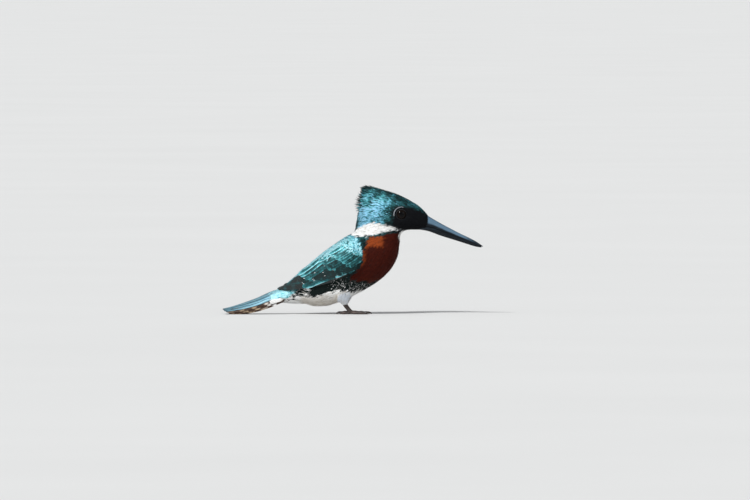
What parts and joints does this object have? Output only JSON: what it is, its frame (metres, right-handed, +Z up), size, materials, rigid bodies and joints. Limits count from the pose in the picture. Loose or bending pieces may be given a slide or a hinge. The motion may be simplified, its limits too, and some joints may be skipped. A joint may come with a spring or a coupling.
{
  "type": "kingfisher figure",
  "caption": "Still life-size model of a male green kingfisher standing on a floor, with folded wings, raised shaggy crest, long bill and tail laid down.",
  "frame": {"origin": "centre of the whole bird's box in X and Y, on the floor that the soles and the underside of the tail rest on", "axes": "+X forward along the bill, +Y to the bird's left, +Z up"},
  "size_m": [0.1878, 0.0388, 0.0927],
  "materials": {
    "plumage_green": "dark glossy blue-green feathers with a teal sheen",
    "plumage_collar": "soft white feathers",
    "plumage_rufous": "soft chestnut feathers",
    "plumage_white": "soft off-white feathers, spotted dark green on the flanks",
    "flight_feathers": "dark green flight feathers with small white spots",
    "tail_feathers": "blue-green tail feathers, the outer ones brown notched with white",
    "bill_horn": "satin black horn with a blue-grey sheen",
    "eye_gloss": "wet dark brown eye",
    "foot_skin": "dark grey-brown scaly skin with black claws"
  },
  "bodies": {
    "root": {"head": "plumage_green", "crest": "plumage_green", "neck": "plumage_collar", "back": "plumage_green", "breast": "plumage_rufous", "belly": "plumage_white", "rump": "plumage_white", "wing_right": "plumage_green", "wing_left": "plumage_green", "primaries_right": "flight_feathers", "primaries_left": "flight_feathers", "tail": "tail_feathers", "thigh_right": "plumage_white", "thigh_left": "plumage_white", "bill_upper": "bill_horn", "bill_lower": "bill_horn", "eye_right": "eye_gloss", "eye_left": "eye_gloss", "foot_right": "foot_skin", "foot_left": "foot_skin"}
  },
  "joints": []
}
